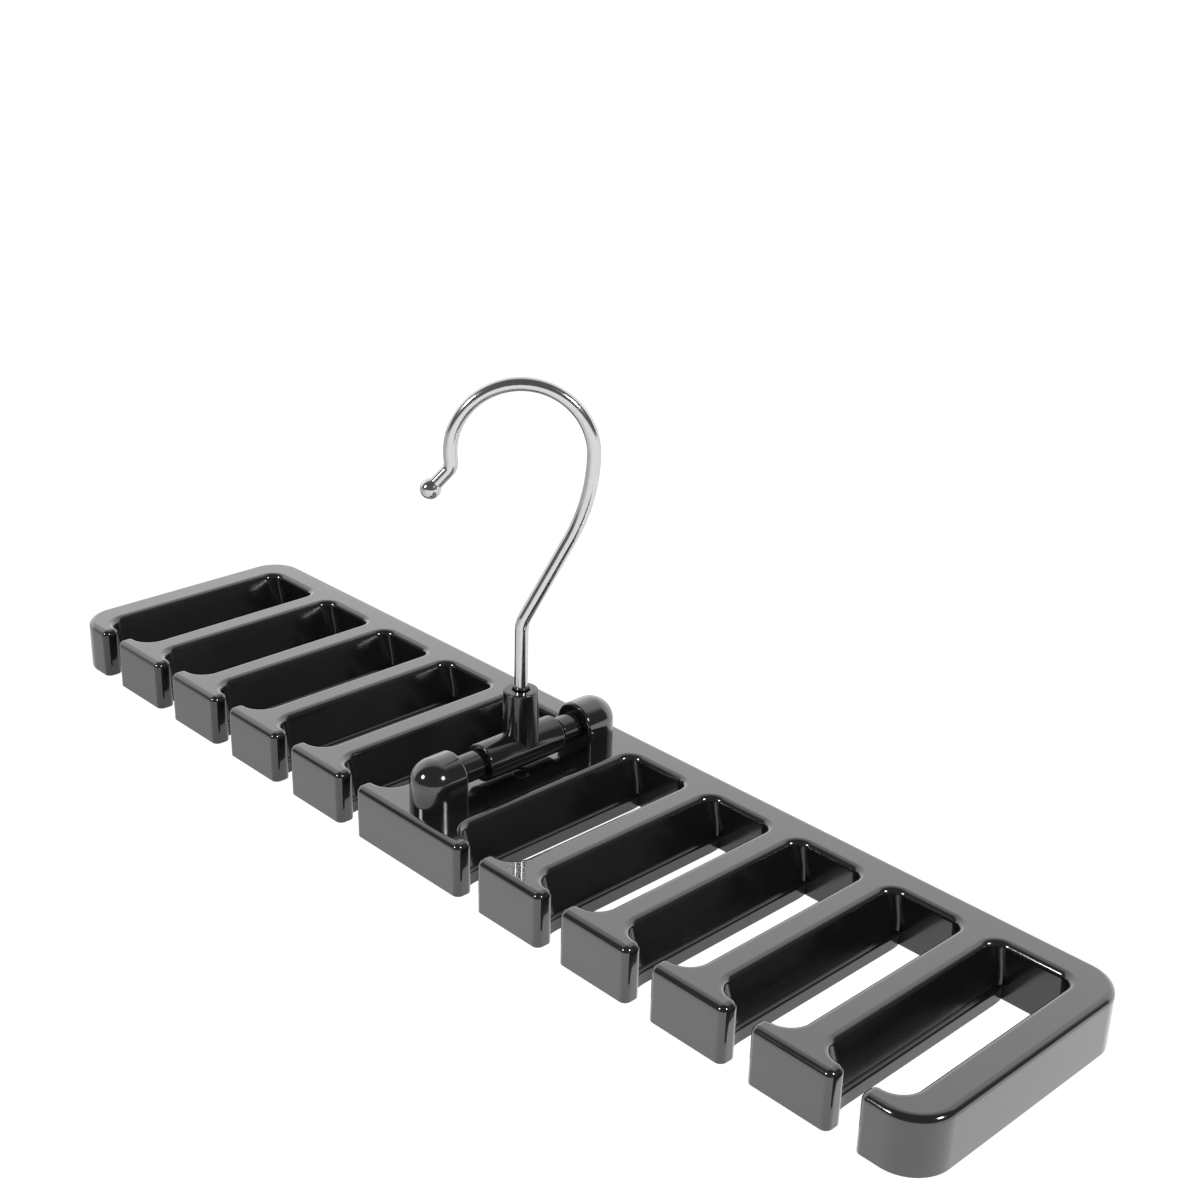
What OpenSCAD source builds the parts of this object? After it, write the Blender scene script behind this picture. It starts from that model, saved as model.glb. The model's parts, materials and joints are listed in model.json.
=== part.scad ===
// Tie hanger: a comb of open slots under a hinged, swivelling wire hook.
// The comb lies in the XY plane, its slot mouths face -Y and +Z is up.
// The origin is at the middle of the comb's underside.

/* [Comb] */
// Fingers between the wide middle finger and each end of the comb
side_fingers = 4; // [2:1:6]
// Spacing of the fingers
pitch = 30; // [28:0.5:40]
// Width of each finger's head
head_w = 23; // [21:0.5:24]
// Width of the wide middle finger's head
wide_head_w = 42; // [38:0.5:60]
// Width of the head at each end of the comb
end_head_w = 17; // [16:0.5:22]
// Depth of the comb from its front faces to its back
comb_d = 76.5; // [72:0.5:100]
// Height of the comb
comb_h = 15; // [14:0.5:20]
// Thickness of the finger heads
head_t = 5.3; // [4.8:0.1:7]
// Width of the spine along the back
spine_w = 9; // [8:0.25:9.75]
// Rounding of the top edges
edge_r = 1.9; // [1:0.1:2]
// Radius of the comb's outer corners
corner_r = 10.5; // [10:0.5:12]
// Radius where a head runs into its rail
neck_r = 6; // [5:0.1:6.5]
// Radius of the slots' back corners
slot_r = 3.8; // [2.5:0.1:4.4]

/* [Rails] */
// Width of a rail under its rounded top edges
rail_w = 8.2; // [6:0.1:8.6]
// How far each side of a rail spreads down to the foot
rail_spread = 3; // [1:0.1:3.4]
// How far the foot stands out past the spread side
foot_out = 1.3; // [1:0.1:1.5]
// Height of the foot
foot_h = 4; // [3:0.1:6]
// Rounding of the foot's upper edge
foot_r = 0.8; // [0.4:0.1:0.9]

/* [Hinge] */
// Radius of the lugs
lug_r = 6.5; // [6:0.1:7]
// Height of the hinge axis over the comb
axis_h = 6.3; // [6.2:0.1:9]
// Length of a lug from its inner face to its rounded end's centre
lug_len = 6.3; // [5.5:0.1:7.5]
// Set-back of the front lug's rounded end from the comb's front
front_set = 3.45; // [3:0.05:8]
// Set-back of the rear lug's rounded end from the comb's back
back_set = 5.25; // [4:0.05:9]
// Radius of the barrel's trunnions
trunnion_r = 2.6; // [2:0.1:3]
// Length of a trunnion in its lug
trunnion_len = 4.5; // [3:0.1:5]
// Radius of the barrel
barrel_r = 5.2; // [5.1:0.1:5.7]
// Length of the barrel
barrel_len = 25.9; // [24:0.1:28]
// How far the barrel's middle stands behind the hinge's middle
barrel_shift = 0.65; // [0:0.05:2]
// Radius of the barrel's end flanges
flange_r = 3.8; // [3.5:0.1:5]
// Depth of the groove at each end of the barrel
groove_w = 1.2; // [0.8:0.1:2]
// Radius at the bottom of that groove
groove_r = 3; // [2.8:0.1:3.4]
// Play between the barrel and each lug, on each side
end_play = 0.1; // [0.05:0.01:0.2]

/* [Boss] */
// Height of the boss over the hinge axis
boss_h = 17.1; // [15:0.1:20]
// How far the boss stands behind the hinge's middle
boss_shift = 1.9; // [0:0.1:3]
// Radius of the boss at its top
boss_top_r = 4.65; // [4.4:0.05:4.8]
// Radius of the boss at the hinge axis
boss_base_r = 5; // [4.8:0.1:5.1]
// Radius of the countersink in the boss's mouth
mouth_r = 2.4; // [2.2:0.1:3]
// Depth of that countersink
mouth_d = 1.2; // [0.6:0.1:2]
// Radius of the hook's retaining head
head_r = 2.9; // [2.4:0.1:3.2]
// Thickness of the retaining head
head_h = 1.8; // [1.2:0.1:2.4]

/* [Hook] */
// Radius of the hook's wire
wire_r = 1.8; // [1.5:0.05:1.9]
// Clear radius inside the hook's loop
loop_in_r = 16.1; // [15:0.1:22]
// Height of the loop's centre over the hinge axis
loop_h = 82.2; // [80:0.1:100]
// How far the loop's centre lies behind the shank
loop_off = 0.4; // [0:0.1:2]
// Radius of the long curve from the shank into the loop
sweep_r = 49; // [40:1:55]
// Lean of the wire between the shank and that curve
lean = 27; // [24:1:30]
// Radius of the bend at the top of the shank
knee_r = 8; // [5:0.5:10]
// How far the loop runs on past its half circle
loop_past = 8; // [2:1:15]
// Radius of the bend before the ball
tip_r = 3; // [2.5:0.1:5]
// Turn of that bend
tip_turn = 50; // [35:1:60]
// Length of wire from that bend to the ball's centre
tip_len = 6.6; // [6:0.1:10]
// Radius of the ball
ball_r = 2.7; // [2.3:0.05:3.2]
// How deep the wire's end sits in the ball
ball_seat = 1.6; // [1:0.1:2]
// Turn of the hook about its shank in the rest position
hook_turn = 47; // [0:1:90]

/* [Fits] */
// Radial clearance of a part that turns in a bore
run_c = 0.06; // [0.02:0.01:0.1]
// Overrun of a cutting shape
cut = 0.5; // [0.2:0.1:1]
// Radial clearance of the wire's end in the ball
seat_c = 0.02; // [0.01:0.01:0.05]
// Play under the hook's retaining head
head_play = 0.1; // [0.05:0.01:0.2]

/* [Hidden] */
$fn = 64;
// Width of the gap between two heads
gap_w = pitch - head_w;
// Edge of the first slot's mouth beside the wide finger
first_x = wide_head_w / 2 + gap_w;
// Tip of the end heads, then the comb's outer side
tip_x = first_x + side_fingers * pitch;
side_x = tip_x + end_head_w;
front_y = -comb_d / 2;
back_y = comb_d / 2;
// Front of the spine, and the line where the rails leave the heads
wall_y = back_y - spine_w;
// Half width of a common rail and of the wide rail, under the rounded edges
rail_half = rail_w / 2;
neck = min(neck_r, head_w / 2 - rail_half - edge_r);
rail_y = front_y + head_t + neck;
// Outer corner, limited by the depth of a head with its neck
corner_share = 0.95;
corner = min(corner_r, (head_t + neck) * corner_share);
wide_half = wide_head_w / 2 - (head_w / 2 - rail_half);
// Inner wall of an end rail
end_wall_x = tip_x + (head_w - rail_w) / 2;
end_half = side_x - rail_half - end_wall_x;
// Hinge
axis_z = comb_h + axis_h;
front_in = front_y + front_set + lug_r + lug_len;
rear_in = back_y - back_set - lug_r - lug_len;
hinge_y = (rear_in + front_in) / 2;
boss_y = hinge_y + boss_shift;
barrel_mid = hinge_y + barrel_shift;
waist_half = barrel_len / 2;
// Hook, in its own plane with the shank at zero
loop_r = loop_in_r + wire_r;
foot_u = -loop_off + loop_r - sweep_r * (1 - cos(lean));
foot_v = loop_h - sweep_r * sin(lean);
knee_v = foot_v - foot_u / tan(lean);
knee_t = knee_r * tan(lean / 2);
lean_from = [knee_t * sin(lean), knee_v + knee_t * cos(lean)];
end_a = 180 + loop_past;
end_u = -loop_off + loop_r * cos(end_a);
end_v = loop_h + loop_r * sin(end_a);
tip_mid = [end_u + tip_r * cos(end_a), end_v + tip_r * sin(end_a)];
tip_a = loop_past - tip_turn;
tip_from = [tip_mid[0] + tip_r * cos(tip_a), tip_mid[1] + tip_r * sin(tip_a)];
tip_dir = tip_a - 90;
ball_mid = [tip_from[0] + tip_len * cos(tip_dir), tip_from[1] + tip_len * sin(tip_dir)];
tip_run = tip_len - ball_r + ball_seat;
tip_to = [tip_from[0] + tip_run * cos(tip_dir), tip_from[1] + tip_run * sin(tip_dir)];
// Retaining head in its seat under the barrel
seat_h = barrel_r - sqrt(barrel_r * barrel_r - head_r * head_r) + head_h + head_play;
seat_z = seat_h - barrel_r - head_play;

// Middle of a common finger, counted outwards from the wide one
function finger_x(i) = first_x + head_w / 2 + (i - 1) * pitch;

// Where the straight side of a rail touches the round of its top edge
function touch(half) =
    let (
        px = half + rail_spread,
        dx = half - edge_r - px,
        dz = comb_h - edge_r - foot_h,
        reach = norm([dx, dz]),
        turn = atan2(dz, dx) - asin(edge_r / reach),
        run = sqrt(reach * reach - edge_r * edge_r)
    )
    [px + run * cos(turn), foot_h + run * sin(turn)];

// Half of a rail's section with a spread side and a foot
module spread_side(half) {
    spread_x = half + rail_spread;
    foot_x = spread_x + foot_out;
    polygon([
        [0, 0],
        [foot_x, 0],
        [foot_x, foot_h - foot_r],
        [foot_x - foot_r, foot_h - foot_r],
        [foot_x - foot_r, foot_h],
        [spread_x, foot_h],
        touch(half),
        [half - edge_r, comb_h - edge_r],
        [half - edge_r, comb_h],
        [0, comb_h]
    ]);
    translate([foot_x - foot_r, foot_h - foot_r])
        circle(r = foot_r);
    translate([half - edge_r, comb_h - edge_r])
        circle(r = edge_r);
}

// Half of a section with an upright side
module plain_side(half) {
    square([half, comb_h - edge_r]);
    square([half - edge_r, comb_h]);
    translate([half - edge_r, comb_h - edge_r])
        circle(r = edge_r);
}

// A section drawn out along Y between two places
module along_y(from, to) {
    translate([0, to, 0])
        rotate([90, 0, 0])
            linear_extrude(height = to - from)
                children();
}

module rail_bar(half, from, to) {
    along_y(from, to) {
        spread_side(half);
        mirror([1, 0])
            spread_side(half);
    }
}

// Cutter for a concave corner: an upright bore that opens out over the top edge's round
module flared_bore(radius) {
    rotate_extrude() {
        translate([0, -cut])
            square([radius, comb_h + 2 * cut]);
        difference() {
            translate([0, comb_h - edge_r])
                square([radius + edge_r, edge_r + cut]);
            translate([radius + edge_r, comb_h - edge_r])
                circle(r = edge_r);
        }
    }
}

// Disc with a rounded top edge, for the comb's outer corners
module round_disc(radius) {
    rotate_extrude() {
        square([radius, comb_h - edge_r]);
        square([radius - edge_r, comb_h]);
        translate([radius - edge_r, comb_h - edge_r])
            intersection() {
                circle(r = edge_r);
                square(edge_r);
            }
    }
}

// Block across X with rounded upright corners and top edges
module rounded_bar(width, depth) {
    for (x = [edge_r, width - edge_r])
        for (y = [edge_r, depth - edge_r])
            translate([x, y, 0]) {
                cylinder(r = edge_r, h = comb_h - edge_r);
                translate([0, 0, comb_h - edge_r])
                    sphere(r = edge_r);
            }
    for (y = [edge_r, depth - edge_r])
        translate([edge_r, y, comb_h - edge_r])
            rotate([0, 90, 0])
                cylinder(r = edge_r, h = width - 2 * edge_r);
    for (x = [edge_r, width - edge_r])
        translate([x, depth - edge_r, comb_h - edge_r])
            rotate([90, 0, 0])
                cylinder(r = edge_r, h = depth - 2 * edge_r);
    translate([edge_r, 0, 0])
        cube([width - 2 * edge_r, depth, comb_h - edge_r]);
    translate([0, edge_r, 0])
        cube([width, depth - 2 * edge_r, comb_h - edge_r]);
    translate([edge_r, edge_r, 0])
        cube([width - 2 * edge_r, depth - 2 * edge_r, comb_h]);
}

// Web that rounds the corner between a head's back and a rail
module neck_web(half) {
    difference() {
        translate([half - edge_r, front_y + head_t - edge_r, 0])
            cube([neck + edge_r, neck + edge_r, comb_h]);
        translate([half + neck, rail_y, 0])
            flared_bore(neck);
    }
}

// Web that rounds the corner between a rail and the spine
module slot_web(half) {
    difference() {
        translate([half - edge_r, wall_y - slot_r, 0])
            cube([slot_r + edge_r, slot_r, comb_h]);
        translate([half + slot_r, wall_y - slot_r, 0])
            flared_bore(slot_r);
    }
}

module rail(half) {
    color("black") {
        rail_bar(half, rail_y, wall_y);
        for (side = [0, 1])
            mirror([side, 0, 0])
                slot_web(half);
    }
}

module head(width, half) {
    color("black") {
        translate([-width / 2, front_y, 0])
            rounded_bar(width, head_t);
        rail_bar(half, front_y + edge_r, rail_y);
        for (side = [0, 1])
            mirror([side, 0, 0])
                neck_web(half);
    }
}

// Corner of the comb, drawn for the right side
module outer_corner(y_mid, from, to) {
    intersection() {
        translate([side_x - corner, y_mid, 0])
            round_disc(corner);
        translate([side_x - corner, from, 0])
            cube([corner, to - from, comb_h]);
    }
}

module end_bar(from, to, inner_from) {
    translate([side_x - rail_half, 0, 0]) {
        along_y(from, to)
            plain_side(rail_half);
        along_y(inner_from, to)
            mirror([1, 0])
                spread_side(end_half);
    }
}

module end_rail() {
    color("black") {
        difference() {
            end_bar(rail_y, wall_y, rail_y);
            translate([side_x - corner, back_y - corner, -cut])
                cube([corner + cut, corner, comb_h + 2 * cut]);
        }
        difference() {
            outer_corner(back_y - corner, back_y - corner, wall_y);
            translate([end_wall_x - slot_r, wall_y - slot_r, 0])
                flared_bore(slot_r);
        }
        translate([side_x - rail_half, 0, 0])
            mirror([1, 0, 0])
                slot_web(end_half);
    }
}

module end_head() {
    color("black")
        difference() {
            union() {
                translate([tip_x, front_y, 0])
                    rounded_bar(end_head_w - corner + edge_r, head_t);
                outer_corner(front_y + corner, front_y, front_y + corner);
                end_bar(front_y + corner, rail_y, front_y + head_t);
                translate([side_x - rail_half, 0, 0])
                    mirror([1, 0, 0])
                        neck_web(end_half);
            }
            translate([end_wall_x - neck, rail_y, 0])
                flared_bore(neck);
        }
}

// Cutter for the rounded top edge of a slot's back, between two rails
module slot_flare(left, right) {
    for (x = [left + slot_r, right - slot_r])
        translate([x, wall_y - slot_r, 0])
            flared_bore(slot_r);
    translate([left + slot_r, wall_y, comb_h - edge_r])
        rotate([90, 0, 90])
            linear_extrude(height = right - left - 2 * slot_r)
                difference() {
                    translate([-cut, 0])
                        square([edge_r + cut, edge_r + cut]);
                    translate([edge_r, 0])
                        circle(r = edge_r);
                }
}

module spine() {
    straight = side_x - corner;
    color("black")
        difference() {
            union() {
                translate([-straight, 0, 0])
                    rotate([90, 0, 90])
                        linear_extrude(height = 2 * straight) {
                            translate([wall_y, 0])
                                square([spine_w, comb_h - edge_r]);
                            translate([wall_y, 0])
                                square([spine_w - edge_r, comb_h]);
                            translate([back_y - edge_r, comb_h - edge_r])
                                circle(r = edge_r);
                        }
                for (side = [0, 1])
                    mirror([side, 0, 0])
                        outer_corner(back_y - corner, wall_y, back_y);
            }
            for (side = [0, 1])
                mirror([side, 0, 0]) {
                    slot_flare(wide_half, finger_x(1) - rail_half);
                    for (i = [1 : side_fingers - 1])
                        slot_flare(finger_x(i) + rail_half, finger_x(i + 1) - rail_half);
                    slot_flare(finger_x(side_fingers) + rail_half, end_wall_x);
                }
        }
}

// Lug with its inner face at zero and its rounded end towards -Y
module lug() {
    color("black")
        difference() {
            union() {
                translate([0, -lug_len, comb_h])
                    rotate([0, 0, 180])
                        rotate_extrude(angle = 180) {
                            square([lug_r, axis_h]);
                            translate([0, axis_h])
                                intersection() {
                                    circle(r = lug_r);
                                    square(lug_r);
                                }
                        }
                along_y(-lug_len, 0) {
                    translate([-lug_r, comb_h])
                        square([2 * lug_r, axis_h]);
                    translate([0, axis_z])
                        intersection() {
                            circle(r = lug_r);
                            translate([-lug_r, 0])
                                square([2 * lug_r, lug_r]);
                        }
                }
            }
            translate([0, -trunnion_len, axis_z])
                rotate([-90, 0, 0])
                    cylinder(r = trunnion_r + run_c, h = trunnion_len + cut);
        }
}

module front_lug() {
    translate([0, front_in, 0])
        lug();
}

module rear_lug() {
    translate([0, rear_in, 0])
        mirror([0, 1, 0])
            lug();
}

// Barrel along +Y from under the boss to its trunnion, with its wide length and the lug this far away
module half_barrel(waist, reach) {
    rotate([-90, 0, 0]) {
        cylinder(r = barrel_r, h = waist);
        cylinder(r = groove_r, h = waist + groove_w + cut);
        translate([0, 0, waist + groove_w])
            cylinder(r = flange_r, h = reach - end_play - waist - groove_w);
        cylinder(r = trunnion_r, h = reach + trunnion_len - end_play);
    }
}

module swivel_barrel() {
    color("black")
        translate([0, boss_y, axis_z])
            difference() {
                union() {
                    half_barrel(barrel_mid + waist_half - boss_y, rear_in - boss_y);
                    mirror([0, 1, 0])
                        half_barrel(boss_y - barrel_mid + waist_half, boss_y - front_in);
                    cylinder(r1 = boss_base_r, r2 = boss_top_r, h = boss_h);
                }
                translate([0, 0, -barrel_r - cut])
                    cylinder(r = wire_r + run_c, h = barrel_r + boss_h + 2 * cut);
                translate([0, 0, boss_h - mouth_d])
                    cylinder(r = mouth_r, h = mouth_d + cut);
                translate([0, 0, -barrel_r - cut])
                    cylinder(r = head_r + run_c, h = seat_h + cut);
            }
}

// Piece of the hook's wire between two places in its plane
module rod(from, to) {
    step = to - from;
    translate([from[0], from[1], 0])
        rotate([0, 0, atan2(step[1], step[0])])
            rotate([0, 90, 0])
                cylinder(r = wire_r, h = norm(step));
}

// Bend of the wire about a middle in its plane
module bend(mid, radius, from, turn) {
    translate([mid[0], mid[1], 0])
        rotate([0, 0, from])
            rotate_extrude(angle = turn)
                translate([radius, 0])
                    circle(r = wire_r);
}

// Carries the hook's own plane to its place over the boss
module in_hook_plane() {
    translate([0, boss_y, axis_z])
        rotate([90, 0, hook_turn])
            children();
}

// The hook is one wire, drawn as lengths that meet face to face
module hook_shank() {
    color("silver")
        in_hook_plane() {
            rotate([-90, 0, 0])
                translate([0, 0, seat_z - head_h])
                    cylinder(r = head_r, h = head_h);
            rod([0, seat_z - head_h], [0, knee_v - knee_t]);
        }
}

module hook_knee() {
    color("silver")
        in_hook_plane()
            bend([knee_r, knee_v - knee_t], knee_r, 180 - lean, lean);
}

module hook_lean() {
    color("silver")
        in_hook_plane()
            rod(lean_from, [foot_u, foot_v]);
}

module hook_sweep() {
    color("silver")
        in_hook_plane()
            bend([foot_u - sweep_r * cos(lean), loop_h], sweep_r, -lean, lean);
}

module hook_loop() {
    color("silver")
        in_hook_plane()
            bend([-loop_off, loop_h], loop_r, 0, 180 + loop_past);
}

module hook_tip_bend() {
    color("silver")
        in_hook_plane()
            bend(tip_mid, tip_r, loop_past - tip_turn, tip_turn);
}

module hook_tip() {
    color("silver")
        in_hook_plane()
            rod(tip_from, tip_to);
}

module hook_ball() {
    color("silver")
        in_hook_plane()
            translate([ball_mid[0], ball_mid[1], 0])
                difference() {
                    sphere(r = ball_r);
                    rotate([0, 0, tip_dir])
                        translate([-ball_r - cut, 0, 0])
                            rotate([0, 90, 0])
                                cylinder(r = wire_r + seat_c, h = ball_seat + cut);
                }
}

spine();
rail(wide_half);  // wide_rail
head(wide_head_w, wide_half);  // wide_head
end_rail();  // right_end_rail
end_head();  // right_end_head
mirror([1, 0, 0]) end_rail();  // left_end_rail
mirror([1, 0, 0]) end_head();  // left_end_head
for (i = [1 : side_fingers]) {
    translate([finger_x(i), 0, 0]) rail(rail_half);
    translate([-finger_x(i), 0, 0]) rail(rail_half);
    translate([finger_x(i), 0, 0]) head(head_w, rail_half);
    translate([-finger_x(i), 0, 0]) head(head_w, rail_half);
}
front_lug();
rear_lug();
swivel_barrel();
hook_shank();
hook_knee();
hook_lean();
hook_sweep();
hook_loop();
hook_tip_bend();
hook_tip();
hook_ball();
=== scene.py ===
# %% [markdown]
# # A tie hanger, dressed for its photograph
# The real object is a flat comb of glossy black plastic with ten open slots, and a
# plated wire hook on top that tilts on a small hinge and turns in a boss. The CAD model
# comes in first as a fixed frame, in metres.

import json
import math

import bmesh
import bpy
from mathutils import Matrix, Vector

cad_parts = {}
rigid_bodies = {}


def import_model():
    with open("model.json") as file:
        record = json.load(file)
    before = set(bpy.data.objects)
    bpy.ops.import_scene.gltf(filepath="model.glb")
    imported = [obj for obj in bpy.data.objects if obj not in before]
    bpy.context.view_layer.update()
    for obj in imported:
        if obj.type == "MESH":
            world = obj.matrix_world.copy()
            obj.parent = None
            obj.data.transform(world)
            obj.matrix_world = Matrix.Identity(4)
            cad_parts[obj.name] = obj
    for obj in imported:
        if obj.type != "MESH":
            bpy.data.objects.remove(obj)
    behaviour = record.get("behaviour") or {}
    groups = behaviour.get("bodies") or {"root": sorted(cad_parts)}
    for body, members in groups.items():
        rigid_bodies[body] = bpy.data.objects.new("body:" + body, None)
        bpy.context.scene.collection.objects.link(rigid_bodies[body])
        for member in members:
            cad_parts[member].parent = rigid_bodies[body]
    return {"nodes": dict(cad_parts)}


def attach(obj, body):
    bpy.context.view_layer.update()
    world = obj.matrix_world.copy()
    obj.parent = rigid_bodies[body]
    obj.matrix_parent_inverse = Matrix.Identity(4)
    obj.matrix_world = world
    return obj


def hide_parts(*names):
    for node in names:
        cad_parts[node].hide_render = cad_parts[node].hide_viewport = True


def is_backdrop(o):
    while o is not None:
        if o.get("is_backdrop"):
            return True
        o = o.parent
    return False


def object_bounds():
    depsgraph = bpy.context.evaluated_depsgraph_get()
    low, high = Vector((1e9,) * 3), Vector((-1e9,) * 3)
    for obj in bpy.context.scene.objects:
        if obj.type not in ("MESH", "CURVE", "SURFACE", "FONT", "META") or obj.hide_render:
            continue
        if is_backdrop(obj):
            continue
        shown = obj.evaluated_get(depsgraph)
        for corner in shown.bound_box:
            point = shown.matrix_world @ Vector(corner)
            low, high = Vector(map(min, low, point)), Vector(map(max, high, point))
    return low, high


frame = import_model()
cad_low, cad_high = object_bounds()
MM = 0.001

# %% [markdown]
# ## The camera
# A camera is three things: where it stands, how it is turned, and its lens. All three
# were worked out from the comb's edges and the hook in the photograph. The photograph
# was cropped off the middle of its lens, and a small lens shift stands for part of that
# without bending a line.

# %% Camera
CAMERA_AT = Vector((324.86, -288.22, 249.65)) * MM
AZIMUTH, ELEVATION, ROLL = (math.radians(a) for a in (44.974, 23.683, -2.03))
PHOTO_SIDE = 1200
FOCAL_PIXELS = 1833.07
AXIS_PIXEL = (620.0, 620.0)
SENSOR_WIDTH = 36
NEAREST = 10 * MM


def facing(azimuth, elevation):
    """A direction by two angles, the first counted from -Y towards +X."""
    return Vector((math.sin(azimuth) * math.cos(elevation),
                   -math.cos(azimuth) * math.cos(elevation), math.sin(elevation)))


def camera_axes():
    """Right, down and forward of the photograph's camera."""
    forward = -facing(AZIMUTH, ELEVATION)
    level = forward.cross(Vector((0, 0, 1))).normalized()
    fall = forward.cross(level)
    right = math.cos(ROLL) * level + math.sin(ROLL) * fall
    down = -math.sin(ROLL) * level + math.cos(ROLL) * fall
    return right, down, forward


right, down, forward = camera_axes()
lens = bpy.data.cameras.new("photo_lens")
lens.sensor_width = SENSOR_WIDTH
lens.lens = FOCAL_PIXELS / PHOTO_SIDE * SENSOR_WIDTH
lens.shift_x = 0.5 - AXIS_PIXEL[0] / PHOTO_SIDE
lens.shift_y = AXIS_PIXEL[1] / PHOTO_SIDE - 0.5
lens.clip_start = NEAREST
camera = bpy.data.objects.new("photo_camera", lens)
turn = Matrix((right, -down, -forward)).transposed()
camera.matrix_world = Matrix.Translation(CAMERA_AT) @ turn.to_4x4()
bpy.context.scene.collection.objects.link(camera)
bpy.context.scene.camera = camera
print("lens", round(lens.lens, 2), "mm, shift", round(lens.shift_x, 4), round(lens.shift_y, 4))

# %% [markdown]
# ## Helpers for meshes
# Three of these helpers carry most of the modelling. One turns lists of points and faces
# into an object. One runs an object's modifiers and keeps only the plain mesh they give,
# because a finished piece should hold its shape without them. One softens the shading:
# edges sharper than an angle stay crisp, and on the others each normal leans towards the
# largest face beside it, so that a flat face stays flat right up to its rounded edge.

# %% Mesh helpers
WELD_GAP = 0.002 * MM
CRISP_FROM, CRISP_ON_WIRE = 32, 50
BY_AREA = 100


def mesh_object(name, points, faces):
    mesh = bpy.data.meshes.new(name)
    mesh.from_pydata([tuple(p) for p in points], [], faces)
    obj = bpy.data.objects.new(name, mesh)
    bpy.context.scene.collection.objects.link(obj)
    return obj


def weld(obj, outward=False):
    """Merges points that coincide, and turns the faces outwards if asked."""
    bm = bmesh.new()
    bm.from_mesh(obj.data)
    bmesh.ops.remove_doubles(bm, verts=bm.verts, dist=WELD_GAP)
    bmesh.ops.dissolve_degenerate(bm, dist=WELD_GAP / 2, edges=bm.edges)
    if outward:
        bmesh.ops.recalc_face_normals(bm, faces=bm.faces)
    bm.to_mesh(obj.data)
    bm.free()


def keep_result(obj, name):
    """Replaces an object with the plain mesh that its modifiers give."""
    bpy.context.view_layer.update()
    graph = bpy.context.evaluated_depsgraph_get()
    mesh = bpy.data.meshes.new_from_object(obj.evaluated_get(graph))
    mesh.name = name
    plain = bpy.data.objects.new(name + "_piece", mesh)
    bpy.context.scene.collection.objects.link(plain)
    bpy.data.objects.remove(obj)
    plain.name = name
    return plain


def shade(obj, crisp_from=CRISP_FROM):
    """Smooth shading that keeps flat faces flat and hard edges hard."""
    mesh = obj.data
    mesh.shade_smooth()
    mesh.set_sharp_from_angle(angle=math.radians(crisp_from))
    normals = obj.modifiers.new("flat_faces_first", "WEIGHTED_NORMAL")
    normals.keep_sharp = True
    normals.weight = BY_AREA


def mark_painted_shade(obj, values):
    """Stores painted shade, from 0 to 1, at each point of a mesh: how far the coat is thinned there."""
    layer = obj.data.attributes.new("dull", "FLOAT", "POINT")
    layer.data.foreach_set("value", values)


def report(obj):
    obj.data.calc_loop_triangles()
    size = obj.dimensions / MM
    print(f"{obj.name}: {len(obj.data.loop_triangles)} triangles, "
          f"{size.x:.1f} x {size.y:.1f} x {size.z:.1f} mm")


# %% [markdown]
# ## Shader maths that reads like maths
# A procedural finish is a sum of simple patterns. Written node by node it is hard to
# read, so one class wraps a socket and lets Python's own signs add the Math nodes.
# Every other node comes from one method, which sets the node's settings first and then
# its sockets. Four short methods stand on it for what every finish here needs.


# %% Shader helpers
class Value:
    """An output socket that can be added, multiplied and so on."""

    def __init__(self, finish, socket):
        self.finish = finish
        self.socket = socket

    def _math(self, operation, first, second):
        node = self.finish.make("ShaderNodeMath", {"operation": operation}, {0: first, 1: second})
        return node.out("Value")

    def __add__(self, other):
        return self._math("ADD", self, other)

    __radd__ = __add__

    def __mul__(self, other):
        return self._math("MULTIPLY", self, other)

    __rmul__ = __mul__

    def __sub__(self, other):
        return self._math("SUBTRACT", self, other)

    def __rsub__(self, other):
        return self._math("SUBTRACT", other, self)


class Part:
    """A node, whose outputs are taken by name."""

    def __init__(self, finish, node):
        self.finish = finish
        self.node = node

    def out(self, name):
        return Value(self.finish, self.node.outputs[name])


class Finish:
    """A node tree of a material or of the world."""

    def __init__(self, owner):
        self.owner = owner
        owner.use_nodes = True
        self.tree = owner.node_tree
        self.tree.nodes.clear()

    def make(self, kind, settings=None, sockets=None):
        node = self.tree.nodes.new(kind)
        for name, value in (settings or {}).items():
            if name == "stops":
                for element, (place, colour) in zip(node.color_ramp.elements, value):
                    element.position = place
                    element.color = colour
            else:
                setattr(node, name, value)
        for name, value in (sockets or {}).items():
            if isinstance(value, Value):
                self.tree.links.new(value.socket, node.inputs[name])
            else:
                node.inputs[name].default_value = value
        return Part(self, node)

    def noise(self, where, scale, detail=2.0, roughness=0.5):
        """A soft random pattern between 0 and 1."""
        return self.make("ShaderNodeTexNoise", {"noise_dimensions": "3D"},
                         {"Vector": where, "Scale": scale, "Detail": detail,
                          "Roughness": roughness}).out("Fac")

    def fade(self, value, span, levels=(0.0, 1.0), kind="SMOOTHSTEP"):
        """Goes from the first level to the last while the value crosses the span."""
        return self.make("ShaderNodeMapRange", {"interpolation_type": kind, "clamp": True},
                         {"Value": value, "From Min": span[0], "From Max": span[1],
                          "To Min": levels[0], "To Max": levels[1]}).out("Result")

    def relief(self, height, depth, strength=1.0, over=None):
        """Normals of a relief this deep, laid over other normals if they are given."""
        sockets = {"Strength": strength, "Distance": depth, "Height": height}
        if over is not None:
            sockets["Normal"] = over
        return self.make("ShaderNodeBump", {}, sockets).out("Normal")

    def skin(self, sockets):
        """The surface itself, wired to the material's output."""
        shader = self.make("ShaderNodeBsdfPrincipled", {}, sockets).out("BSDF")
        self.make("ShaderNodeOutputMaterial", {}, {"Surface": shader})
        return self.owner


def grey(level):
    return (level, level, level, 1)
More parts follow.
